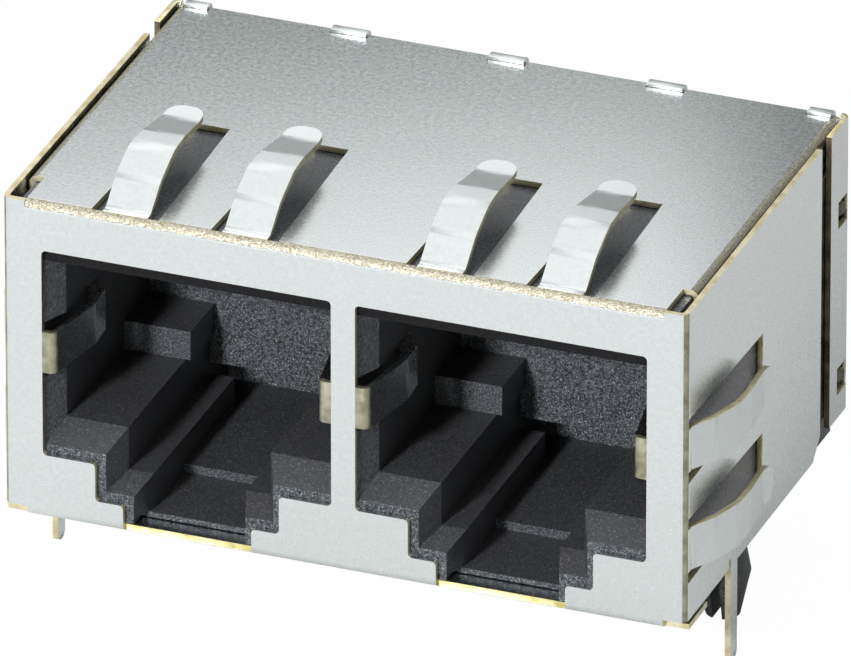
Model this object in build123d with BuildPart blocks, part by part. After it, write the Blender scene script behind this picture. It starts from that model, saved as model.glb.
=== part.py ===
from build123d import *
import os

os.makedirs("parts", exist_ok=True)

# A shielded socket with two side-by-side ports for a circuit board.
# X runs across the ports, Y runs back from the mating face and Z rises from the board.
# The origin lies on the board, midway between the two locating pegs. All sizes are in mm.

# Shield, as a whole
shell_width = 30.4
shell_height = 14.8
shell_depth = 19.7
sheet = 0.25
fold_radius = 0.4
tight_fold = 0.15
play = 0.05
peg_setback = 9.0

# Ports
port_pitch = 13.97
opening_half = 6.45
opening_drop = 2.2
opening_shelf = 3.0
opening_step_half = 4.11
opening_step = 1.25
opening_slot_half = 2.87
corner_radius = 0.2

# Plug cavity of the housing
cavity_half = 5.95
cavity_drop = 3.15
shelf_height = 4.2
latch_half = 3.18
latch_step = 2.2
slot_half = 2.07
floor_height = 0.55
floor_raise = 0.4
floor_front = 1.2
floor_raise_setback = 5.0
rim_width = 0.37
lead_in_depth = 1.2
plug_depth = 10.8
floor_slit = 0.3
stop_width = 3.0
stop_setback = 8.0
stop_height = 1.35

# Front shield
wall_gap = 0.45
wall_chamfer = 0.6
back_gap = 0.3
edge_gap = 0.08
top_lip = 1.5
bottom_lip = 2.58
relief_width = 0.7
relief_length = 2.3
tongue_jog = 0.7
tongue_inset = 0.6
tongue_bottom = 1.5
tongue_drop = 1.9

# Contact springs cut from the shield
spring_width = 2.0
spring_tip_width = 1.55
spring_tip_radius = 0.7
spring_taper_start = 2.5
spring_root = 0.7
spring_shoulder = 1.2
spring_shoulder_share = 0.6
spring_crest_start = 2.7
spring_crest_end = 4.1
spring_dip = 5.9
spring_dip_share = 0.86
spring_tip_share = 0.91
spring_length = 7.0
spring_root_bend = 0.5
spring_shoulder_bend = 1.5
spring_crest_bend = 2.0
spring_slot = 3.0
spring_slot_angle = 88.2
spring_slot_start = 0.3
spring_slot_end = 9.15
top_spring_pitch = 5.32
top_spring_shift = -0.15
top_spring_rise = 1.7
side_spring_low = 3.7
side_spring_pitch = 4.68
side_spring_rise = 1.12

# Ground springs inside the ports
ground_spring_height = 7.83
ground_spring_width = 1.9
ground_spring_length = 4.6
ground_spring_turn = 0.45
ground_spring_bend = 3.2
ground_spring_bend_radius = 1.0
ground_spring_reach = 1.0
ground_spring_return = 0.1
ground_pocket_depth = 0.5
ground_pocket_length = 5.2
ground_pocket_room = 0.3

# Board pins of the shields
pin_width = 0.8
pin_reach = 4.1
pin_tip_flat = 0.08
pin_notch_width = 0.2
pin_notch_height = 0.4
front_pin_setback = 5.8
rear_pin_pitch = 15.24

# Rear shield
flange_length = 2.35
flange_gap = 1.1
flange_clearance = 1.15
window_width = 1.1
window_height = 1.25
window_low = 2.83
window_pitch = 7.85
window_inset = 0.9
latch_lift = 0.3
latch_room = 0.25
latch_length = 0.8
latch_height = 0.5
tab_pitch = 7.1
tab_width = 1.6
end_tab_inset = 1.2
end_tab_width = 1.05
tab_reach = 0.65
tab_rise = 0.15

# Locating pegs
peg_inset = 1.65
peg_root_radius = 0.88
peg_barb_radius = 1.18
peg_tip_radius = 0.74
peg_barb_depth = 1.7
peg_length = 3.75
peg_slot = 0.42
peg_slot_end = 0.35
peg_relief = 1.3
peg_relief_depth = 0.25

# Contact carriers
carrier_drop = 1.4
carrier_tongue_half = 4.95
carrier_tongue_drop = 2.6
carrier_tongue_front = 3.5
carrier_foot_room = 1.2
carrier_underside = 2.7
comb_rib = 0.36
comb_front = 8.7
comb_bottom = 9.05

# Contacts
contact_count = 8
contact_pitch = 1.02
contact_width = 0.46
contact_thick = 0.3
contact_run_drop = 2.0
contact_nose = 1.2
contact_nose_radius = 0.4
contact_free_setback = 9.0
contact_free_height = 9.35
contact_bend = 0.6
tail_inset = 5.3
tail_row_gap = 2.54
tail_length = 3.6

# Sizes that follow from the ones above
port_x = port_pitch / 2
ports = {"left": -port_x, "right": port_x}
tabs = [(number * tab_pitch, tab_width) for number in (-1, 0, 1)]
tabs += [(side * (shell_width / 2 - end_tab_inset), end_tab_width) for side in (-1, 1)]
wall_inner = shell_width / 2 - sheet
back_inner = shell_depth - sheet
housing_half = wall_inner - play
housing_top = shell_height - sheet - play
housing_back = back_inner - back_gap
rear_half = wall_inner - 2 * play - sheet
top_half = wall_inner - edge_gap
edge_bottom = shell_height - top_lip - play
opening_top = shell_height - opening_drop
cavity_ceiling = shell_height - cavity_drop
wall_depth = shell_depth - flange_length - flange_clearance
tongue_end = shell_depth - tongue_inset
tongue_top = shell_height - tongue_drop
window_setback = shell_depth - window_inset
windows = (window_low, window_low + window_pitch)
peg_x = shell_width / 2 - peg_inset
tongue_pocket_front = contact_nose + contact_nose_radius
carrier_top = shell_height - carrier_drop
carrier_tongue_floor = shell_height - carrier_tongue_drop
contact_run_height = shell_height - contact_run_drop
tail_setback = shell_depth - tail_inset
carrier_foot_front = tail_setback - carrier_foot_room
floor_back = carrier_foot_front - floor_slit


def depth(setback):
    """Y of a point that lies this far behind the mating face."""
    return setback - peg_setback


def across(setback):
    """Upright plane across the ports at this setback; a negative extrusion runs back from it."""
    return Plane.XZ.offset(-depth(setback))


def folded(plane, points, radius, thickness=sheet):
    """Section of a strip of this thickness that follows the points, rounded at each fold."""
    with BuildSketch(plane) as section:
        with BuildLine() as middle:
            FilletPolyline(*points, radius=radius)
        trace(middle.line, line_width=thickness)
    return section.sketch


def upright(setback, x, half, low, high):
    """Rectangle across the ports at this setback, half on each side of X = x, from Z low to high."""
    with BuildSketch(across(setback)) as section:
        with Locations((x, (low + high) / 2)):
            Rectangle(2 * half, high - low)
    return section.sketch


def stepped(x, top, half, shelf, step_half, step, slot, bottom):
    """Corners of a port's stepped outline about the line X = x."""
    right = [(slot, bottom), (slot, step), (step_half, step), (step_half, shelf), (half, shelf), (half, top)]
    left = [(-across_x, z) for across_x, z in reversed(right)]
    return [(x + across_x, z) for across_x, z in left + right]


def contact_spring(rise):
    """Contact spring that leaves the sheet at the origin, runs along Y and arches up along Z."""
    with BuildPart() as spring:
        spring_middle = [
            (-fold_radius, 0),
            (0, 0),
            (spring_shoulder, spring_shoulder_share * rise),
            (spring_crest_start, rise),
            (spring_crest_end, rise),
            (spring_dip, spring_dip_share * rise),
            (spring_length, spring_tip_share * rise),
        ]
        spring_bends = [spring_root_bend, spring_shoulder_bend] + 3 * [spring_crest_bend]
        strip = folded(Plane.YZ.offset(-spring_width / 2), spring_middle, spring_bends)
        extrude(strip, amount=spring_width)
        with BuildSketch(Plane.XY.offset(-sheet)):
            with BuildLine():
                Polyline(
                    (-spring_tip_width / 2, spring_length + sheet),
                    (-spring_width / 2, spring_taper_start),
                    (-spring_width / 2, -fold_radius),
                    (spring_width / 2, -fold_radius),
                    (spring_width / 2, spring_taper_start),
                    (spring_tip_width / 2, spring_length + sheet),
                    close=True,
                )
            make_face()
        extrude(amount=rise + 2 * sheet, mode=Mode.INTERSECT)
        tip_corners = faces().sort_by(Axis.Y)[-1].edges().sort_by(SortBy.LENGTH)[:2]
        fillet(tip_corners, radius=spring_tip_radius)
    return spring.part


# Ground spring: it turns in from the edge of an opening at the origin and runs back along Y
with BuildPart() as ground_spring:
    ground_middle = [
        (-2 * sheet, sheet / 2),
        (ground_spring_turn, sheet / 2),
        (ground_spring_reach, ground_spring_bend),
        (ground_spring_reach - ground_spring_return, ground_spring_length),
    ]
    ground_bends = [fold_radius / 2, ground_spring_bend_radius]
    strip = folded(Plane.XY.offset(-ground_spring_width / 2), ground_middle, ground_bends)
    extrude(strip, amount=ground_spring_width)

# Board pin with a rounded tip, about the Z axis, its outer face at X = 0
with BuildPart() as board_pin:
    with BuildSketch(Plane.YZ):
        with Locations((0, (flange_gap - pin_reach) / 2)):
            Rectangle(pin_width, flange_gap + pin_reach)
        fillet(vertices().group_by(Axis.Y)[0], radius=(pin_width - pin_tip_flat) / 2)
    extrude(amount=-sheet)

# Front shield, one folded sheet
with BuildPart() as front_shield:
    # Side walls folded back from the face, each with a narrower tongue that steps inward at its end
    wall_middle = shell_width / 2 - sheet / 2
    wall_points = [
        (-wall_middle, depth(wall_depth)),
        (-wall_middle, depth(sheet / 2)),
        (wall_middle, depth(sheet / 2)),
        (wall_middle, depth(wall_depth)),
    ]
    strip = folded(Plane.XY.offset(wall_gap), wall_points, fold_radius - sheet / 2)
    extrude(strip, amount=shell_height - wall_gap)
    tongue_middle = rear_half + play + sheet / 2
    for side in (-1, 1):
        tongue_points = [
            (side * wall_middle, depth(wall_depth - sheet)),
            (side * wall_middle, depth(wall_depth)),
            (side * tongue_middle, depth(wall_depth + tongue_jog)),
            (side * tongue_middle, depth(tongue_end)),
        ]
        strip = folded(Plane.XY.offset(tongue_bottom), tongue_points, tight_fold)
        extrude(strip, amount=tongue_top - tongue_bottom)
    # The face's upper edge is cut away where the top folds over it
    with BuildSketch(across(-sheet)):
        with Locations((0, shell_height)):
            Rectangle(2 * (top_half - relief_width), 2 * fold_radius)
    extrude(amount=-(relief_length + sheet), mode=Mode.SUBTRACT)
    # Top plate, face plate and bottom lip, folded about lines across the ports
    face_points = [
        (depth(back_inner - play), shell_height - sheet / 2),
        (depth(sheet / 2), shell_height - sheet / 2),
        (depth(sheet / 2), sheet / 2),
        (depth(bottom_lip), sheet / 2),
    ]
    face_half = top_half - relief_width
    strip = folded(Plane.YZ.offset(-face_half), face_points, fold_radius - sheet / 2)
    extrude(strip, amount=2 * face_half)
    # Bottom lip out to the shield's sides
    with BuildSketch(Plane.XY):
        with Locations((0, depth((bottom_lip + fold_radius) / 2))):
            Rectangle(shell_width, bottom_lip - fold_radius)
    extrude(amount=sheet)
    # Long edges of the top plate, turned down inside the side walls
    lip_points = [
        (-top_half + sheet / 2, shell_height - top_lip),
        (-top_half + sheet / 2, shell_height - sheet / 2),
        (top_half - sheet / 2, shell_height - sheet / 2),
        (top_half - sheet / 2, shell_height - top_lip),
    ]
    strip = folded(across(relief_length), lip_points, fold_radius - sheet / 2)
    extrude(strip, amount=-(back_inner - play - relief_length))
    # Stepped port openings, open at the bottom down to the lip
    for x in ports.values():
        outline = stepped(
            x,
            opening_top,
            opening_half,
            opening_shelf,
            opening_step_half,
            opening_step,
            opening_slot_half,
            sheet / 2,
        )
        with BuildSketch(across(-sheet)):
            with BuildLine():
                Polyline(*outline, close=True)
            make_face()
            fillet(vertices().filter_by(lambda corner: corner.Y > sheet), radius=corner_radius)
        extrude(amount=-(2 * sheet + play), mode=Mode.SUBTRACT)
    # Slots under the contact springs, from the fold back
    slot_middle = depth((spring_slot_end + spring_slot_start) / 2)
    slot_length = spring_slot_end - spring_slot_start
    top_spring_half = top_spring_pitch / 2
    top_springs = [x + top_spring_shift + side * top_spring_half for x in ports.values() for side in (-1, 1)]
    side_springs = [side_spring_low, side_spring_low + side_spring_pitch]
    with BuildSketch(Plane.XY.offset(shell_height + sheet)):
        with Locations([(x, slot_middle) for x in top_springs]):
            Trapezoid(spring_slot, slot_length, spring_slot_angle)
    extrude(amount=-2 * sheet - fold_radius, mode=Mode.SUBTRACT)
    for side in (-1, 1):
        with BuildSketch(Plane.YZ.offset(side * (wall_middle - sheet))):
            with Locations([(slot_middle, z) for z in side_springs]):
                Trapezoid(spring_slot, slot_length, spring_slot_angle, rotation=-90)
        extrude(amount=side * 3 * sheet, mode=Mode.SUBTRACT)
    # Contact springs on the top and on both walls
    spring_y = depth(spring_root)
    top_spring = contact_spring(top_spring_rise)
    side_spring = contact_spring(side_spring_rise)
    for x in top_springs:
        add(top_spring.moved(Location((x, spring_y, shell_height - sheet / 2))))
    for side in (-1, 1):
        for z in side_springs:
            add(side_spring.moved(Location((side * wall_middle, spring_y, z), (0, side * 90, 0))))
    # Roots of the contact springs, still in the sheet
    with BuildSketch(Plane.XY.offset(shell_height - sheet)):
        with Locations([(x, depth(spring_root / 2 + fold_radius / 2)) for x in top_springs]):
            Rectangle(spring_width, spring_root - fold_radius)
    extrude(amount=sheet)
    # Ground springs, one on each upright edge of each opening, with a notch above and below
    for x in ports.values():
        for side in (-1, 1):
            edge = x + side * opening_half
            turn = (0, 0, 0) if side < 0 else (0, 180, 0)
            add(ground_spring.part.moved(Location((edge, depth(0), ground_spring_height), turn)))
    # Corners of the side walls at the back, and the board pins with their relief notches
    for side in (-1, 1):
        with BuildSketch(Plane.YZ.offset(side * wall_middle)):
            with Locations((depth(wall_depth), wall_gap)):
                Rectangle(2 * wall_chamfer, 2 * wall_chamfer, rotation=45)
            with Locations((depth(front_pin_setback - (pin_width + pin_notch_width) / 2), wall_gap)):
                Rectangle(pin_notch_width, 2 * pin_notch_height)
        extrude(amount=sheet, both=True, mode=Mode.SUBTRACT)
        pin_face = side * wall_middle + sheet / 2
        add(board_pin.part.moved(Location((pin_face, depth(front_pin_setback), 0))))
    # Latch lances, each cut free from the tongue on three sides and bent out into a window
    latch_front = depth(window_setback - latch_length / 2)
    latch_back = depth(window_setback + latch_length / 2)
    with BuildSketch(Plane.YZ.offset(-shell_width)):
        with Locations([((latch_front + latch_back + latch_room) / 2, z) for z in windows]):
            Rectangle(latch_length + latch_room, latch_height + 2 * latch_room)
    extrude(amount=2 * shell_width, mode=Mode.SUBTRACT)
    for side in (-1, 1):
        lance_points = [
            (side * tongue_middle, latch_front - sheet),
            (side * tongue_middle, latch_front),
            (side * (tongue_middle + latch_lift), latch_back),
        ]
        for z in windows:
            strip = folded(Plane.XY.offset(z - latch_height / 2), lance_points, tight_fold)
            extrude(strip, amount=latch_height)
    # The top plate's rear edge is notched under the tabs of the rear shield
    for x, width in tabs:
        with BuildSketch(Plane.XY.offset(shell_height + sheet)):
            with Locations((x, depth(shell_depth - tab_reach / 2))):
                Rectangle(width + 2 * play, tab_reach + 2 * play)
        extrude(amount=-3 * sheet, mode=Mode.SUBTRACT)

# Rear shield: back plate, side flanges with windows, tabs over the top plate and two board pins
with BuildPart() as rear_shield:
    back_points = [
        (-wall_middle, depth(shell_depth - flange_length)),
        (-wall_middle, depth(shell_depth - sheet / 2)),
        (wall_middle, depth(shell_depth - sheet / 2)),
        (wall_middle, depth(shell_depth - flange_length)),
    ]
    strip = folded(Plane.XY.offset(flange_gap), back_points, fold_radius - sheet / 2)
    extrude(strip, amount=shell_height - flange_gap)
    with BuildSketch(Plane.YZ.offset(-shell_width)):
        with Locations([(depth(window_setback), z) for z in windows]):
            Rectangle(window_width, window_height)
    extrude(amount=2 * shell_width, mode=Mode.SUBTRACT)
    # Between its corners the back plate ends level with the underside of the top plate
    plate_half = shell_width / 2 - fold_radius
    plate_room = upright(back_inner, 0, plate_half, shell_height - sheet, shell_height + sheet)
    extrude(plate_room, amount=-2 * sheet, mode=Mode.SUBTRACT)
    for x, width in tabs:
        tab_points = [
            (depth(shell_depth - sheet / 2), shell_height - 2 * sheet),
            (depth(shell_depth - sheet / 2), shell_height + tab_rise - sheet / 2),
            (depth(shell_depth - tab_reach), shell_height + tab_rise - sheet / 2),
        ]
        strip = folded(Plane.YZ.offset(x - width / 2), tab_points, tight_fold)
        extrude(strip, amount=width)
    for side in (-1, 1):
        pin_place = Location((side * rear_pin_pitch / 2, depth(shell_depth), 0), (0, 0, 90))
        add(board_pin.part.moved(pin_place))

# Housing, one black moulding
with BuildPart() as housing:
    front = sheet + play
    extrude(upright(front, 0, housing_half, 0, housing_top), amount=front - housing_back)
    # Room for the bottom lip of the shield
    extrude(upright(0, 0, shell_width, 0, front), amount=-(bottom_lip + play), mode=Mode.SUBTRACT)
    for side in (-1, 1):
        # Narrower side at the back, where the shield's tongue lies
        tongue_room = upright(wall_depth - sheet, side * (rear_half + wall_gap), wall_gap, 0, shell_height)
        extrude(tongue_room, amount=-shell_depth, mode=Mode.SUBTRACT)
        # Clearance under the turned-down edge of the top plate
        lip_half = wall_inner - top_half + sheet + play
        lip_room = upright(0, side * wall_inner, lip_half, edge_bottom, shell_height)
        extrude(lip_room, amount=-shell_depth, mode=Mode.SUBTRACT)
    for x in ports.values():
        # Upper cavity, latch step and latch slot, each widening to a lead-in at its mouth
        mouths = [
            (opening_half, opening_shelf + rim_width),
            (opening_step_half - rim_width, opening_step + rim_width),
            (opening_slot_half - rim_width, floor_height),
        ]
        throats = [(cavity_half, shelf_height), (latch_half, latch_step), (slot_half, floor_height)]
        for mouth, throat in zip(mouths, throats):
            outer = upright(front, x, *mouth, cavity_ceiling + rim_width)
            inner = upright(front + lead_in_depth, x, *throat, cavity_ceiling)
            loft([outer, inner], ruled=True, mode=Mode.SUBTRACT)
            low = max(throat[1], floor_height + floor_raise)
            back = upright(floor_raise_setback, x, throat[0], low, cavity_ceiling)
            extrude(inner, amount=front + lead_in_depth - floor_raise_setback, mode=Mode.SUBTRACT)
            extrude(back, amount=floor_raise_setback - plug_depth, mode=Mode.SUBTRACT)
        # The slot runs out through the floor in front
        slot_exit = upright(0, x, opening_slot_half - rim_width, 0, floor_height)
        extrude(slot_exit, amount=-floor_front, mode=Mode.SUBTRACT)
        # Latch space behind the plug, under the carrier
        latch_room = upright(plug_depth, x, latch_half, floor_height + floor_raise, carrier_underside)
        extrude(latch_room, amount=plug_depth - floor_back, mode=Mode.SUBTRACT)
        # Pocket for the contact carrier, open at the back and to the board
        carrier_pocket = upright(plug_depth, x, cavity_half, carrier_underside - play, carrier_top + play)
        extrude(carrier_pocket, amount=-shell_depth, mode=Mode.SUBTRACT)
        foot_pocket = upright(floor_back, x, cavity_half, 0, carrier_underside)
        extrude(foot_pocket, amount=-shell_depth, mode=Mode.SUBTRACT)
        # Pocket for the carrier's tongue, over the cavity
        tongue_half = carrier_tongue_half + play
        tongue_pocket = upright(tongue_pocket_front, x, tongue_half, cavity_ceiling, carrier_top + play)
        extrude(tongue_pocket, amount=-plug_depth, mode=Mode.SUBTRACT)
        # Pockets for the ground springs
        pocket_low = ground_spring_height - ground_spring_width / 2 - ground_pocket_room
        pocket_high = ground_spring_height + ground_spring_width / 2 + ground_pocket_room
        ground_pocket = upright(0, x, cavity_half + ground_pocket_depth, pocket_low, pocket_high)
        extrude(ground_pocket, amount=-ground_pocket_length, mode=Mode.SUBTRACT)
        # Stop block on the left shelf
        stop_x = x - cavity_half + stop_width / 2
        stop_block = upright(stop_setback, stop_x, stop_width / 2, shelf_height, shelf_height + stop_height)
        extrude(stop_block, amount=stop_setback - plug_depth)
    # Relief round each peg's root, open at the side
    with BuildSketch(Plane.XY):
        for side in (-1, 1):
            with Locations((side * (peg_x + peg_relief / 2), 0)):
                Rectangle(3 * peg_relief, 2 * peg_relief)
    extrude(amount=peg_relief_depth, mode=Mode.SUBTRACT)
    # Split locating pegs, barbed to hold in the board
    for x in (-peg_x, peg_x):
        with BuildSketch(Plane.XZ):
            with BuildLine():
                Polyline(
                    (x, peg_relief_depth),
                    (x, -peg_length),
                    (x + peg_tip_radius, -peg_length),
                    (x + peg_barb_radius, -peg_barb_depth),
                    (x + peg_root_radius, 0),
                    (x + peg_root_radius, peg_relief_depth),
                    close=True,
                )
            make_face()
        revolve(axis=Axis((x, 0, 0), (0, 0, 1)))
    with BuildSketch(Plane.XZ.offset(-2 * peg_barb_radius)):
        with Locations((-peg_x, -peg_length), (peg_x, -peg_length)):
            Rectangle(peg_slot, 2 * (peg_length - peg_slot_end))
    extrude(amount=4 * peg_barb_radius, mode=Mode.SUBTRACT)


def contact_section(plane, row, thickness):
    """Side view of a contact's wire whose tail stands in this row."""
    tail = tail_setback + row * tail_row_gap
    points = [
        (depth(tail), -tail_length),
        (depth(tail), contact_run_height),
        (depth(contact_nose), contact_run_height),
        (depth(contact_free_setback), contact_free_height),
    ]
    return folded(plane, points, [contact_bend, contact_nose_radius], thickness)


def contact_x(port, number):
    """Place across the ports of a contact's middle."""
    return ports[port] + (number - (contact_count - 1) / 2) * contact_pitch


# Contact carriers, each with a comb for the free ends of the contacts and a channel for each wire
for port, x in ports.items():
    with BuildPart() as carrier:
        front = plug_depth + play
        body = upright(front, x, cavity_half - play, carrier_underside, carrier_top)
        extrude(body, amount=front - housing_back)
        foot = upright(carrier_foot_front, x, cavity_half - play, 0, carrier_underside)
        extrude(foot, amount=carrier_foot_front - housing_back)
        tongue = upright(carrier_tongue_front, x, carrier_tongue_half, carrier_tongue_floor, carrier_top)
        extrude(tongue, amount=carrier_tongue_front - front)
        for number in range(contact_count + 1):
            rib_x = contact_x(port, number) - contact_pitch / 2
            rib = upright(comb_front, rib_x, comb_rib / 2, comb_bottom, carrier_tongue_floor)
            extrude(rib, amount=comb_front - front)
        for number in range(contact_count):
            start = contact_x(port, number) - contact_width / 2 - play
            channel = contact_section(Plane.YZ.offset(start), number % 2, contact_thick + 2 * play)
            extrude(channel, amount=contact_width + 2 * play, mode=Mode.SUBTRACT)
    carrier.part.label = port + "_contact_carrier"
    export_step(carrier.part, "parts/" + port + "_contact_carrier.step")

# Contact wires
for port in ports:
    for number in range(contact_count):
        with BuildPart() as contact:
            start = contact_x(port, number) - contact_width / 2
            channel = contact_section(Plane.YZ.offset(start), number % 2, contact_thick)
            extrude(channel, amount=contact_width)
        name = port + "_contact_" + str(number + 1)
        contact.part.label = name
        export_step(contact.part, "parts/" + name + ".step")

front_shield.part.label = "front_shield"
rear_shield.part.label = "rear_shield"
housing.part.label = "housing"
export_step(front_shield.part, "parts/front_shield.step")
export_step(rear_shield.part, "parts/rear_shield.step")
export_step(housing.part, "parts/housing.step")
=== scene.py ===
from math import cos, radians, sin

import bpy
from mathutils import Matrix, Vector
from mathutils.bvhtree import BVHTree


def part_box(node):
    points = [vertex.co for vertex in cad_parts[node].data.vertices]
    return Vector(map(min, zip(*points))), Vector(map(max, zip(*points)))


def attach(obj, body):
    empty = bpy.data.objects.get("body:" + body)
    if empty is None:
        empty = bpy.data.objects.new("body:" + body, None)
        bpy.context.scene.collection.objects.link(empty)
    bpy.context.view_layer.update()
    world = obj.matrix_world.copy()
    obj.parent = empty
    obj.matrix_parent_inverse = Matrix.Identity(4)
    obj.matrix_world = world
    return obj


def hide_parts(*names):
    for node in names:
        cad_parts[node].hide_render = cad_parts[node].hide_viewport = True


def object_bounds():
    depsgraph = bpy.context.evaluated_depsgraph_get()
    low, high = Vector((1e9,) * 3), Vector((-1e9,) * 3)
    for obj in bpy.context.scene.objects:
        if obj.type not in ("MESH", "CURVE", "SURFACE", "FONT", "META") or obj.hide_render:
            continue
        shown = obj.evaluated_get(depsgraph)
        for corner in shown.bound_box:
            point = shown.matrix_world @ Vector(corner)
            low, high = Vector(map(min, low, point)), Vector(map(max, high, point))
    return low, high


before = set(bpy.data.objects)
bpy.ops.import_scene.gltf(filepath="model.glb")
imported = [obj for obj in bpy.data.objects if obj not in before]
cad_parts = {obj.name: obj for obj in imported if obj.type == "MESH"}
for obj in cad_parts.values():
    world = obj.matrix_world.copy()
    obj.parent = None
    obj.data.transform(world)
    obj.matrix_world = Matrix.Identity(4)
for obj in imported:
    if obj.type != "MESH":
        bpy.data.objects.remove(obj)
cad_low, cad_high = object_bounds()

# A shielded two-port connector in plated sheet and black plastic, on a pale floor.
# Lengths are in metres, and mm turns millimetres into them.
mm = 0.001
shield_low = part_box("front_shield")[0]
cover_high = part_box("rear_shield")[1]
housing_low, housing_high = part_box("housing")

# Folded sheet, where a face with more metal than cut_depth behind it is a sheared one
sheet = 0.25 * mm
cut_depth = 0.36 * mm
ray_start = 0.002 * mm
roof_rise = 0.3 * mm
shell_half = cover_high.x
shell_top = housing_high.z + roof_rise
mating_face = shield_low.y

# Port openings, measured from the middle line between the ports
port_pitch = 13.97 * mm
port_x = port_pitch / 2
opening_half = 6.45 * mm
opening_low = 3.2 * mm
cavity_ceiling = 11.65 * mm
lead_in_half = 5.9 * mm
lead_in_depth = 2 * mm

# Reach of the finishes on the sheet
bend_room = 0.05 * mm
corner_room = 0.5 * mm
side_fold_room = 0.8 * mm
root_depth = 0.5 * mm
ground_spring_reach = 6 * mm
lip_reach = 3 * mm
tab_sink = 0.12 * mm
tongue_front = 7.3 * mm
tongue_side = 1.4 * mm
tongue_top = cavity_ceiling + 1.5 * mm
skin = 0.1 * mm

# Turn of a face, as parts of its unit normal
edge_on = 0.9
just_leaning = 0.08
leaning_outward = 0.12
slanting_back = 0.2
turned_forward = 0.25
looking_up = 0.35
corner_least = 0.50
corner_most = 0.95
nearly_upright = 0.8

# Rounding of edges
merge_distance = 0.0005 * mm
sheet_edge = 0.045 * mm
plastic_edge = 0.07 * mm
wire_edge = 0.03 * mm
edge_segments = 2
even_weight = 50
sheet_smooth_angle = radians(38)
plastic_smooth_angle = radians(20)
flat_angle = radians(0.6)

# Grain heights
plating_grain = 0.01 * mm
crazing_height = 0.03 * mm
fine_grain = 0.015 * mm
satin_grain = 0.02 * mm
coarse_grain = 0.35 * mm

# Colours of the metal
cloud_colours = ((0.670, 0.705, 0.702), (0.690, 0.725, 0.722))
fleck_colours = ((0.620, 0.655, 0.652), (0.740, 0.775, 0.772))
crazed_colours = ((0.23, 0.20, 0.13), (0.58, 0.55, 0.43))
# White specks on the crazed folds: painted highlights
painted_glint_colour = (0.92, 0.91, 0.86)
cream_colours = ((0.56, 0.49, 0.25), (0.80, 0.74, 0.53))
tarnished_colours = ((0.20, 0.19, 0.13), (0.39, 0.38, 0.28))
# Dark metal behind the cover's windows: painted shade.
window_painted_shade_colours = ((0.05, 0.05, 0.045), (0.16, 0.15, 0.13))
# Dark brown for metal in the gap beside the side wall: painted shade.
gap_painted_shade_edge_colours = ((0.10, 0.08, 0.05), (0.24, 0.20, 0.12))
brassy_colours = ((0.60, 0.50, 0.18), (0.90, 0.82, 0.44))
gold_colour = (0.86, 0.62, 0.26)
tin_colour = (0.68, 0.67, 0.63)

# Colours of the plastic
fine_blacks = ((0.030, 0.031, 0.035), (0.048, 0.050, 0.054))
# Paler blacks for the faces that look to the front: painted light.
grainy_painted_light_blacks = ((0.046, 0.050, 0.058), (0.210, 0.232, 0.256))
# Paler, smoother blacks for the lead-in slopes and outer faces, their paleness painted light.
satin_painted_light_blacks = ((0.060, 0.064, 0.072), (0.090, 0.096, 0.106))
# Near black for the strip above the cavity ceiling: painted shade.
painted_shade_blacks = ((0.006, 0.006, 0.007), (0.009, 0.009, 0.010))
# Pale specks painted into the plastic's colour stand in for glints: painted highlights.
painted_glint_gain = 3
painted_glint_limit = 0.7

# Camera
camera_azimuth = radians(20.9)
camera_elevation = radians(27.46)
camera_distance = 0.98
camera_lens = 990.2
camera_aim = Vector((-0.23 * mm, 1.2 * mm, 6.47 * mm))
camera_near = 0.01

# Floor
floor_size = 1.2
floor_white_seen = 0.98
floor_white_mirrored = 0.04
floor_pale = 0.79
# The floor's colour darkens towards the back right: painted shade.
floor_painted_shade = 0.62
floor_painted_shade_reach = 15.0

# Sky, by its height from the horizon at 0 to overhead at 1
sky_dim_below = 0.55
sky_bright_above = 0.97
sky_dim_colour = (0.12, 0.13, 0.13)
sky_bright_colour = (1.42, 1.42, 1.42)

# Lamps
front_lamp_place = Vector((-0.085, -0.483, 0.258))
front_lamp_aim = Vector((0, 0, 0.008))
front_lamp_size = 0.06
front_lamp_power = 3.3
back_lamp_place = Vector((-0.047, 0.042, 0.0646))
back_lamp_aim = Vector((-0.027, 0, 0.0166))
back_lamp_width = 0.088
back_lamp_height = 0.036
back_lamp_power = 0.0137


def leave_nothing_selected():
    bpy.ops.object.select_all(action="DESELECT")


def take_up(piece):
    """Selects one piece alone and makes it the active one."""
    leave_nothing_selected()
    piece.select_set(True)
    bpy.context.view_layer.objects.active = piece


def start_editing(piece):
    """Opens one piece in edit mode with all of it selected."""
    take_up(piece)
    bpy.ops.object.mode_set(mode="EDIT")
    bpy.ops.mesh.select_all(action="SELECT")


def stop_editing():
    bpy.ops.object.mode_set(mode="OBJECT")


def node_set(material):
    """Clears a material's nodes and returns its tree, its shader and its coordinates in millimetres."""
    material.use_nodes = True
    tree = material.node_tree
    tree.nodes.clear()
    output = tree.nodes.new("ShaderNodeOutputMaterial")
    shader = tree.nodes.new("ShaderNodeBsdfPrincipled")
    tree.links.new(shader.outputs["BSDF"], output.inputs["Surface"])
    place = tree.nodes.new("ShaderNodeTexCoord")
    scale = tree.nodes.new("ShaderNodeMapping")
    scale.inputs["Scale"].default_value = (1 / mm, 1 / mm, 1 / mm)
    tree.links.new(place.outputs["Object"], scale.inputs["Vector"])
    return tree, shader, scale.outputs["Vector"]


def noise(tree, place, scale, detail=3.0, roughness=0.5):
    """A noise whose grains are about 1/scale mm across."""
    node = tree.nodes.new("ShaderNodeTexNoise")
    node.inputs["Scale"].default_value = scale
    node.inputs["Detail"].default_value = detail
    node.inputs["Roughness"].default_value = roughness
    tree.links.new(place, node.inputs["Vector"])
    return node.outputs["Fac"]


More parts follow.
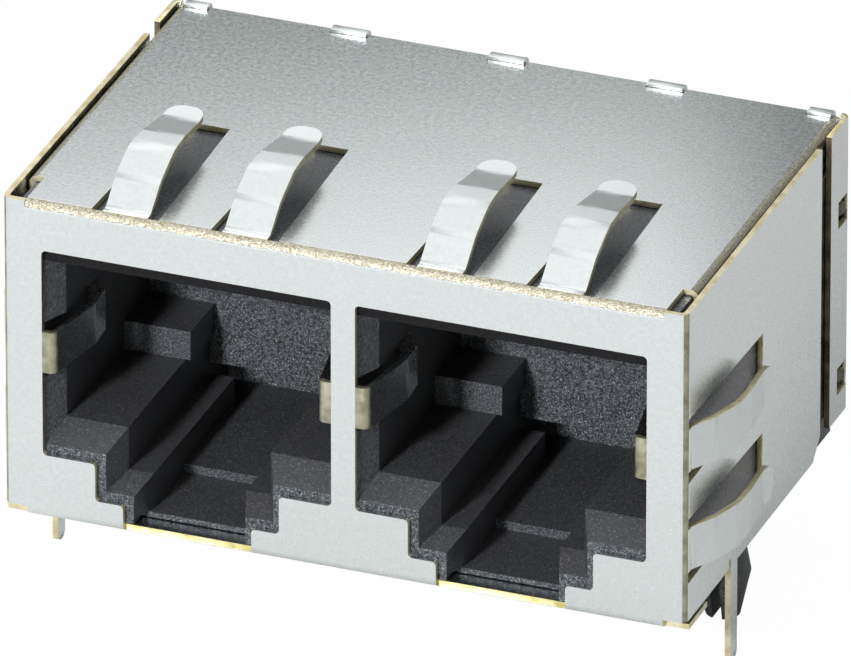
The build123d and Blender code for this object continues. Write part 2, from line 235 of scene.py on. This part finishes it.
def spread(tree, value, low, high, out_low=0.0, out_high=1.0):
    """Maps a value from low..high to out_low..out_high, held at both ends."""
    node = tree.nodes.new("ShaderNodeMapRange")
    node.inputs["From Min"].default_value = low
    node.inputs["From Max"].default_value = high
    node.inputs["To Min"].default_value = out_low
    node.inputs["To Max"].default_value = out_high
    tree.links.new(value, node.inputs["Value"])
    return node.outputs["Result"]


def blend_colour(tree, share, first, second):
    """Mixes two colours, or outputs that carry colours, by a share."""
    node = tree.nodes.new("ShaderNodeMix")
    node.data_type = "RGBA"
    if isinstance(share, float):
        node.inputs["Factor"].default_value = share
    else:
        tree.links.new(share, node.inputs["Factor"])
    for socket, colour in (("A", first), ("B", second)):
        target = [item for item in node.inputs if item.name == socket and item.type == "RGBA"][0]
        if isinstance(colour, tuple):
            target.default_value = (*colour, 1)
        else:
            tree.links.new(colour, target)
    return [item for item in node.outputs if item.type == "RGBA"][0]


def bump(tree, shader, height, strength, distance):
    """Raises the surface a little where the height is great."""
    node = tree.nodes.new("ShaderNodeBump")
    node.inputs["Strength"].default_value = strength
    node.inputs["Distance"].default_value = distance
    tree.links.new(height, node.inputs["Height"])
    tree.links.new(node.outputs["Normal"], shader.inputs["Normal"])


def shaded(colours, shade):
    """The same colours, darker as the shade falls below 1, as a painted shade."""
    return [tuple(shade * value for value in colour) for colour in colours]


def plated_finish(name, smoothest, roughest, shade):
    """Satin plating with a fine grain and faint clouds, darkened by a painted shade where the shade is
    below 1.
    """
    material = bpy.data.materials.new(name)
    tree, shader, place = node_set(material)
    clouds = spread(tree, noise(tree, place, scale=0.35, detail=2.0), low=0.35, high=0.65)
    grain = spread(tree, noise(tree, place, scale=5.0, detail=4.0, roughness=0.7), low=0.30, high=0.70)
    tone = blend_colour(tree, clouds, *shaded(cloud_colours, shade))
    fleck = blend_colour(tree, grain, *shaded(fleck_colours, shade))
    tree.links.new(blend_colour(tree, 0.7, tone, fleck), shader.inputs["Base Color"])
    shader.inputs["Metallic"].default_value = 1.0
    tree.links.new(spread(tree, grain, 0.0, 1.0, smoothest, roughest), shader.inputs["Roughness"])
    bump(tree, shader, grain, strength=0.09, distance=plating_grain)
    return material


def bend_finish():
    """Outside of a fold, where the plating is crazed and the base metal shows through, with white specks
    painted in as glints, which are painted highlights.
    """
    material = bpy.data.materials.new("crazed_fold")
    tree, shader, place = node_set(material)
    crazing = spread(tree, noise(tree, place, scale=10.0, detail=4.0, roughness=0.65), low=0.36, high=0.62)
    # White specks painted into the colour stand in for glints: painted highlights.
    painted_glint_share = spread(tree, noise(tree, place, scale=18.0, detail=2.0), low=0.57, high=0.70)
    worn = blend_colour(tree, crazing, *crazed_colours)
    tree.links.new(blend_colour(tree, painted_glint_share, worn, painted_glint_colour), shader.inputs["Base Color"])
    shader.inputs["Metallic"].default_value = 0.8
    tree.links.new(spread(tree, crazing, 0.0, 1.0, 0.50, 0.34), shader.inputs["Roughness"])
    bump(tree, shader, crazing, strength=0.5, distance=crazing_height)
    return material


def cut_finish():
    """Sheared edge of the sheet, in the cream and pale brass of its base metal."""
    material = bpy.data.materials.new("sheared_edge")
    tree, shader, place = node_set(material)
    streaks = spread(tree, noise(tree, place, scale=1.6), low=0.34, high=0.66)
    tree.links.new(blend_colour(tree, streaks, *cream_colours), shader.inputs["Base Color"])
    shader.inputs["Metallic"].default_value = 0.65
    shader.inputs["Roughness"].default_value = 0.38
    return material


def stained_finish(name, colours):
    """Bare metal in two tones, for real stains and for the painted shade of metal in a gap or behind a
    window.
    """
    material = bpy.data.materials.new(name)
    tree, shader, place = node_set(material)
    stains = spread(tree, noise(tree, place, scale=1.4, detail=4.0, roughness=0.6), low=0.36, high=0.62)
    tree.links.new(blend_colour(tree, stains, *colours), shader.inputs["Base Color"])
    shader.inputs["Metallic"].default_value = 0.8
    tree.links.new(spread(tree, stains, 0.0, 1.0, 0.38, 0.52), shader.inputs["Roughness"])
    return material


def plastic_finish(name, colours, grain_scale, grain_height, roughness, shine=0.5):
    """Black moulded plastic whose grain follows the mould's surface, paler on its crests, with pale specks
    painted in as glints, which are painted highlights.
    """
    material = bpy.data.materials.new(name)
    tree, shader, place = node_set(material)
    grain = noise(tree, place, scale=grain_scale, detail=5.0, roughness=0.7)
    crests = spread(tree, grain, low=0.40, high=0.62)
    # Pale specks painted in as glints: painted highlights.
    painted_glints = spread(tree, noise(tree, place, scale=2 * grain_scale, detail=2.0), low=0.60, high=0.72)
    body = blend_colour(tree, crests, *colours)
    painted_glint_tone = tuple(min(painted_glint_gain * value, painted_glint_limit) for value in colours[1])
    tree.links.new(blend_colour(tree, painted_glints, body, painted_glint_tone), shader.inputs["Base Color"])
    shader.inputs["Specular IOR Level"].default_value = shine
    gloss = spread(tree, grain, 0.3, 0.7, roughness - 0.08, roughness + 0.08)
    tree.links.new(gloss, shader.inputs["Roughness"])
    bump(tree, shader, grain, strength=0.9, distance=grain_height)
    return material


def wire_finish():
    """Contact wire, gold coloured in the port and tin coloured on the tail."""
    material = bpy.data.materials.new("contact_wire_plating")
    tree, shader, place = node_set(material)
    split = tree.nodes.new("ShaderNodeSeparateXYZ")
    tree.links.new(place, split.inputs["Vector"])
    tail = spread(tree, split.outputs["Z"], low=1.0, high=-0.2)
    tree.links.new(blend_colour(tree, tail, gold_colour, tin_colour), shader.inputs["Base Color"])
    shader.inputs["Metallic"].default_value = 1.0
    wear = noise(tree, place, scale=3.0)
    tree.links.new(spread(tree, wear, 0.3, 0.7, 0.22, 0.34), shader.inputs["Roughness"])
    bump(tree, shader, wear, strength=0.1, distance=plating_grain)
    return material


def merged_copy(node, name):
    """A copy of a CAD node with its loose triangles joined, and none of its materials."""
    piece = bpy.data.objects.new(name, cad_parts[node].data.copy())
    bpy.context.scene.collection.objects.link(piece)
    take_up(piece)
    bpy.ops.mesh.customdata_custom_splitnormals_clear()
    piece.data.materials.clear()
    start_editing(piece)
    bpy.ops.mesh.remove_doubles(threshold=merge_distance)
    stop_editing()
    return piece


def join_flat_faces(piece):
    """Joins the triangles of each flat face, within the borders of the materials."""
    start_editing(piece)
    bpy.ops.mesh.dissolve_limited(angle_limit=flat_angle, delimit={"MATERIAL"})
    stop_editing()


def round_edges(piece, width, smooth_angle):
    """Rounds every edge sharper than the angle by this width and smooths the curved faces."""
    take_up(piece)
    rounding = piece.modifiers.new("rounding", "BEVEL")
    rounding.width = width
    rounding.segments = edge_segments
    rounding.limit_method = "ANGLE"
    rounding.angle_limit = smooth_angle
    rounding.use_clamp_overlap = True
    rounding.harden_normals = False
    bpy.ops.object.modifier_apply(modifier=rounding.name)
    bpy.ops.object.shade_smooth_by_angle(angle=smooth_angle)
    shading = piece.modifiers.new("flat_faces_stay_flat", "WEIGHTED_NORMAL")
    shading.mode = "FACE_AREA"
    shading.weight = even_weight
    shading.keep_sharp = True
    bpy.ops.object.modifier_apply(modifier=shading.name)


def cut_across(piece, place, normal):
    """Divides the faces that a plane crosses, so that a finish can end there."""
    start_editing(piece)
    bpy.ops.mesh.bisect(plane_co=place, plane_no=normal)
    stop_editing()


def hand_over(piece, node):
    """The finished piece takes the node's place."""
    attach(piece, "root")
    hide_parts(node)


def on_a_fold(centre, normal):
    """Whether a face of the sheet is on the crazed outer side of the folds beside the top plate."""
    inside = abs(centre.x) < shell_half + bend_room and centre.z < shell_top + bend_room
    at_top = centre.z > shell_top - corner_room
    at_front = centre.y < mating_face + corner_room
    at_side = abs(centre.x) > shell_half - side_fold_room and normal.x * centre.x > 0
    over_front = at_front and normal.z > looking_up and normal.y < -just_leaning
    down_side = at_side and abs(normal.x) > leaning_outward and normal.z > just_leaning
    return inside and at_top and (over_front or down_side)


def in_a_shaded_gap(centre, normal):
    """Whether a face of a fold looks into the gap beside the side wall, where it takes a painted shade."""
    return abs(normal.x) > nearly_upright and centre.y > mating_face + root_depth


def on_a_corner(centre, normal):
    """Whether a face of the sheet is on the upright folds between the face plate and the side walls."""
    inside = shell_half - side_fold_room < abs(centre.x) < shell_half + bend_room
    outward = normal.x * centre.x > 0 and corner_least < abs(normal.x) < corner_most
    forward = normal.y < -turned_forward and centre.y < mating_face + corner_room
    return inside and outward and forward


def on_a_spring(centre):
    """Whether a face of the front shield is on a contact spring outside the shell."""
    return centre.z > shell_top + skin or abs(centre.x) > shell_half + skin


def beside_a_port(centre, half_width):
    """Whether a point lies within this half width of a port's middle."""
    return abs(abs(centre.x) - port_x) < half_width


def on_a_ground_spring(centre):
    """Whether a face of the sheet is on the ground springs, which stand inside the openings."""
    inside = beside_a_port(centre, opening_half) and opening_low < centre.z < cavity_ceiling
    return inside and centre.y < mating_face + ground_spring_reach


def under_an_opening(centre):
    """Whether a face of the sheet is on the bottom lip, below a port's opening."""
    below = beside_a_port(centre, opening_half) and centre.z < sheet
    return below and centre.y < mating_face + lip_reach


def on_a_sill(centre, normal):
    """Whether a sheared face of the sheet looks up from the lower border of a port's opening."""
    at_face = centre.y < mating_face + sheet and sheet < centre.z < cavity_ceiling
    return at_face and normal.z > edge_on


def on_a_tongue(centre):
    """Whether a face of the front shield is on the tongues that lie inside the cover's flanges."""
    at_side = abs(centre.x) > shell_half - tongue_side
    return at_side and centre.y > tongue_front and centre.z < tongue_top


def on_a_tab(centre):
    """Whether a face of the cover is on the tabs that reach over the top plate."""
    return centre.z > shell_top - tab_sink and abs(centre.x) < shell_half - corner_room


def on_a_flange(centre, normal):
    """Whether a face of the cover is on the flat of its side flanges."""
    return abs(normal.x) > edge_on and abs(centre.x) > shell_half - corner_room


def sheet_finish(node, centre, normal, sheared):
    """The finish of one face of a folded sheet."""
    if on_a_ground_spring(centre):
        return tarnished_fold if centre.y < mating_face + root_depth else plating
    # The tongues behind the windows are painted dark: painted shade.
    if node == "front_shield" and on_a_tongue(centre):
        return sheared_edge if sheared else window_painted_shade_plating
    if node == "rear_shield" and on_a_tab(centre):
        return spring_plating
    if sheared and on_a_sill(centre, normal):
        return plating
    # The cover's front-facing cut edges look into the gap and take a painted shade.
    if sheared and node == "rear_shield" and normal.y < -edge_on:
        return gap_painted_shade_edge
    if sheared:
        return brassy_edge if under_an_opening(centre) else sheared_edge
    if node == "front_shield" and on_a_spring(centre):
        return spring_plating
    if on_a_corner(centre, normal):
        return tarnished_fold
    if on_a_fold(centre, normal):
        # Fold faces in the gap take a painted shade.
        return gap_painted_shade_edge if in_a_shaded_gap(centre, normal) else crazed_fold
    # The flat of the side flanges gets the plating darkened by a painted shade.
    if node == "rear_shield" and on_a_flange(centre, normal):
        return flange_plating_painted_shade
    return plating


def sheet_piece(node, name):
    """A folded sheet with plated faces, crazed folds and sheared edges."""
    piece = merged_copy(node, name)
    for port in (-port_x, port_x):
        for edge in (-opening_half, opening_half):
            cut_across(piece, (port + edge, 0, 0), (1, 0, 0))
    for material in sheet_finishes:
        piece.data.materials.append(material)
    body = BVHTree.FromPolygons(
        [vertex.co for vertex in piece.data.vertices], [face.vertices for face in piece.data.polygons]
    )
    for face in piece.data.polygons:
        inward = -face.normal
        thickness = body.ray_cast(face.center + inward * ray_start, inward)[3]
        sheared = thickness is not None and thickness > cut_depth
        finish = sheet_finish(node, face.center, face.normal, sheared)
        face.material_index = sheet_finishes.index(finish)
    join_flat_faces(piece)
    round_edges(piece, sheet_edge, sheet_smooth_angle)
    hand_over(piece, node)


def moulded_finish(centre, normal):
    """The finish of one face of a moulding."""
    # Faces that look to the front below the cavity ceiling are painted paler: painted light.
    if normal.y < -edge_on:
        # Above the cavity ceiling those faces are near black instead: painted shade.
        return painted_shade_plastic if centre.z > cavity_ceiling else grainy_painted_light_plastic
    outside = centre.z > housing_high.z - skin or abs(centre.x) > housing_high.x - skin
    at_mouth = centre.y < housing_low.y + lead_in_depth and not beside_a_port(centre, lead_in_half)
    leading_in = at_mouth and normal.y < -slanting_back
    # The paler satin black on the outer faces and lead-in slopes is painted light.
    return satin_painted_light_plastic if outside or leading_in else fine_plastic


def plastic_piece(node, name):
    """A black moulding that is grainy and paler with painted light on the faces towards the ports' mouths,
    and finer elsewhere.
    """
    piece = merged_copy(node, name)
    for material in moulded_finishes:
        piece.data.materials.append(material)
    cut_across(piece, (0, 0, cavity_ceiling), (0, 0, 1))
    for face in piece.data.polygons:
        finish = moulded_finish(face.center, face.normal)
        face.material_index = moulded_finishes.index(finish)
    join_flat_faces(piece)
    round_edges(piece, plastic_edge, plastic_smooth_angle)
    hand_over(piece, node)


def wire_piece(node, name):
    """One formed contact wire."""
    piece = merged_copy(node, name)
    piece.data.materials.append(contact_plating)
    join_flat_faces(piece)
    round_edges(piece, wire_edge, sheet_smooth_angle)
    hand_over(piece, node)


def floor_finish():
    """Pale floor, white to the camera and brightened in reflections, that keeps a soft shadow and carries a
    painted shade, darker towards the back right.
    """
    material = bpy.data.materials.new("pale_floor")
    material.use_nodes = True
    tree = material.node_tree
    tree.nodes.clear()
    output = tree.nodes.new("ShaderNodeOutputMaterial")
    matt = tree.nodes.new("ShaderNodeBsdfDiffuse")
    place = tree.nodes.new("ShaderNodeTexCoord")
    turned = tree.nodes.new("ShaderNodeMapping")
    turned.inputs["Scale"].default_value = (1 / mm, 1 / mm, 1 / mm)
    turned.inputs["Rotation"].default_value = (0, 0, camera_azimuth)
    tree.links.new(place.outputs["Object"], turned.inputs["Vector"])
    split = tree.nodes.new("ShaderNodeSeparateXYZ")
    tree.links.new(turned.outputs["Vector"], split.inputs["Vector"])
    # painted shade: the floor's colour darkens towards the back right
    tone = spread(tree, split.outputs["Y"], -floor_painted_shade_reach, floor_painted_shade_reach, floor_pale, floor_painted_shade)
    tree.links.new(tone, matt.inputs["Color"])
    glow = tree.nodes.new("ShaderNodeEmission")
    glow.inputs["Strength"].default_value = 1.0
    seen = tree.nodes.new("ShaderNodeLightPath")
    straight = spread(tree, seen.outputs["Is Camera Ray"], 0.0, 1.0, 0.0, floor_white_seen)
    mirrored = spread(tree, seen.outputs["Is Glossy Ray"], 0.0, 1.0, 0.0, floor_white_mirrored)
    share = tree.nodes.new("ShaderNodeMath")
    share.operation = "MAXIMUM"
    tree.links.new(straight, share.inputs[0])
    tree.links.new(mirrored, share.inputs[1])
    mix = tree.nodes.new("ShaderNodeMixShader")
    tree.links.new(share.outputs["Value"], mix.inputs["Fac"])
    tree.links.new(matt.outputs["BSDF"], mix.inputs[1])
    tree.links.new(glow.outputs["Emission"], mix.inputs[2])
    tree.links.new(mix.outputs["Shader"], output.inputs["Surface"])
    return material


def make_floor():
    """A wide pale sheet under the pins."""
    leave_nothing_selected()
    bpy.ops.mesh.primitive_plane_add(size=floor_size, location=(0, 0, cad_low.z))
    floor = bpy.context.object
    floor.name = "floor"
    bpy.ops.object.transform_apply(location=True, rotation=True, scale=True)
    floor.data.materials.append(floor_finish())


def make_sky():
    """Soft studio light, brighter overhead than low down, and white where the camera sees it."""
    world = bpy.data.worlds.new("studio")
    bpy.context.scene.world = world
    world.use_nodes = True
    tree = world.node_tree
    tree.nodes.clear()
    output = tree.nodes.new("ShaderNodeOutputWorld")
    seen = tree.nodes.new("ShaderNodeLightPath")
    white = tree.nodes.new("ShaderNodeBackground")
    white.inputs["Color"].default_value = (1, 1, 1, 1)
    light = tree.nodes.new("ShaderNodeBackground")
    way = tree.nodes.new("ShaderNodeTexCoord")
    split = tree.nodes.new("ShaderNodeSeparateXYZ")
    tree.links.new(way.outputs["Generated"], split.inputs["Vector"])
    up = spread(tree, split.outputs["Z"], low=sky_dim_below, high=sky_bright_above)
    tree.links.new(blend_colour(tree, up, sky_dim_colour, sky_bright_colour), light.inputs["Color"])
    mix = tree.nodes.new("ShaderNodeMixShader")
    tree.links.new(seen.outputs["Is Camera Ray"], mix.inputs["Fac"])
    tree.links.new(light.outputs["Background"], mix.inputs[1])
    tree.links.new(white.outputs["Background"], mix.inputs[2])
    tree.links.new(mix.outputs["Shader"], output.inputs["Surface"])


def make_lamp(name, place, aim, width, height, power):
    """A soft rectangular lamp that looks at a point."""
    lamp = bpy.data.lights.new(name, "AREA")
    lamp.shape = "RECTANGLE"
    lamp.size = width
    lamp.size_y = height
    lamp.energy = power
    holder = bpy.data.objects.new(name, lamp)
    bpy.context.scene.collection.objects.link(holder)
    holder.location = place
    holder.rotation_euler = (aim - place).to_track_quat("-Z", "Y").to_euler()


def make_camera():
    """A long lens, high on the right of the front."""
    camera = bpy.data.objects.new("camera", bpy.data.cameras.new("camera"))
    bpy.context.scene.collection.objects.link(camera)
    away = Vector((
        sin(camera_azimuth) * cos(camera_elevation),
        -cos(camera_azimuth) * cos(camera_elevation),
        sin(camera_elevation),
    ))
    camera.location = camera_aim + away * camera_distance
    camera.rotation_euler = (-away).to_track_quat("-Z", "Y").to_euler()
    camera.data.lens = camera_lens
    camera.data.clip_start = camera_near
    bpy.context.scene.camera = camera


# Finishes of the metal
plating = plated_finish("satin_plating", smoothest=0.21, roughest=0.30, shade=1.0)
# A rougher plating for the springs and tabs, its colour darkened a little by a painted shade.
spring_plating = plated_finish("spring_plating", smoothest=0.35, roughest=0.43, shade=0.96)
# The side flanges take the plating darkened by a painted shade.
flange_plating_painted_shade = plated_finish("flange_plating_painted_shade", smoothest=0.21, roughest=0.30, shade=0.90)
crazed_fold = bend_finish()
tarnished_fold = stained_finish("tarnished_fold", tarnished_colours)
sheared_edge = cut_finish()
window_painted_shade_plating = stained_finish("window_painted_shade", window_painted_shade_colours)
gap_painted_shade_edge = stained_finish("gap_painted_shade", gap_painted_shade_edge_colours)
brassy_edge = stained_finish("brassy_edge", brassy_colours)
sheet_finishes = (
    plating, spring_plating, flange_plating_painted_shade, crazed_fold, tarnished_fold,
    sheared_edge, window_painted_shade_plating, gap_painted_shade_edge, brassy_edge,
)
contact_plating = wire_finish()

# Finishes of the plastic
fine_plastic = plastic_finish("fine_black_plastic", fine_blacks, 7.0, fine_grain, roughness=0.42)
grainy_painted_light_plastic = plastic_finish("grainy_painted_light_black_plastic", grainy_painted_light_blacks, 9.0, coarse_grain, roughness=0.36)
satin_painted_light_plastic = plastic_finish("satin_painted_light_black_plastic", satin_painted_light_blacks, 6.0, satin_grain, roughness=0.28)
painted_shade_plastic = plastic_finish("painted_shade_black_plastic", painted_shade_blacks, 7.0, fine_grain, roughness=0.60, shine=0.1)
moulded_finishes = (fine_plastic, grainy_painted_light_plastic, satin_painted_light_plastic, painted_shade_plastic)

# The pieces
sheet_piece("front_shield", "front_shield_sheet")
sheet_piece("rear_shield", "rear_shield_sheet")
plastic_piece("housing", "housing_moulding")
for side in ("left", "right"):
    plastic_piece(side + "_contact_carrier", side + "_carrier_moulding")
    for number in range(1, 9):
        wire_piece(f"{side}_contact_{number}", f"{side}_contact_wire_{number}")

# The studio
make_floor()
make_sky()
make_lamp(
    "front_left_lamp", front_lamp_place, front_lamp_aim, front_lamp_size, front_lamp_size, front_lamp_power
)
make_lamp("back_lamp", back_lamp_place, back_lamp_aim, back_lamp_width, back_lamp_height, back_lamp_power)
make_camera()
bpy.context.scene.view_settings.view_transform = "Standard"
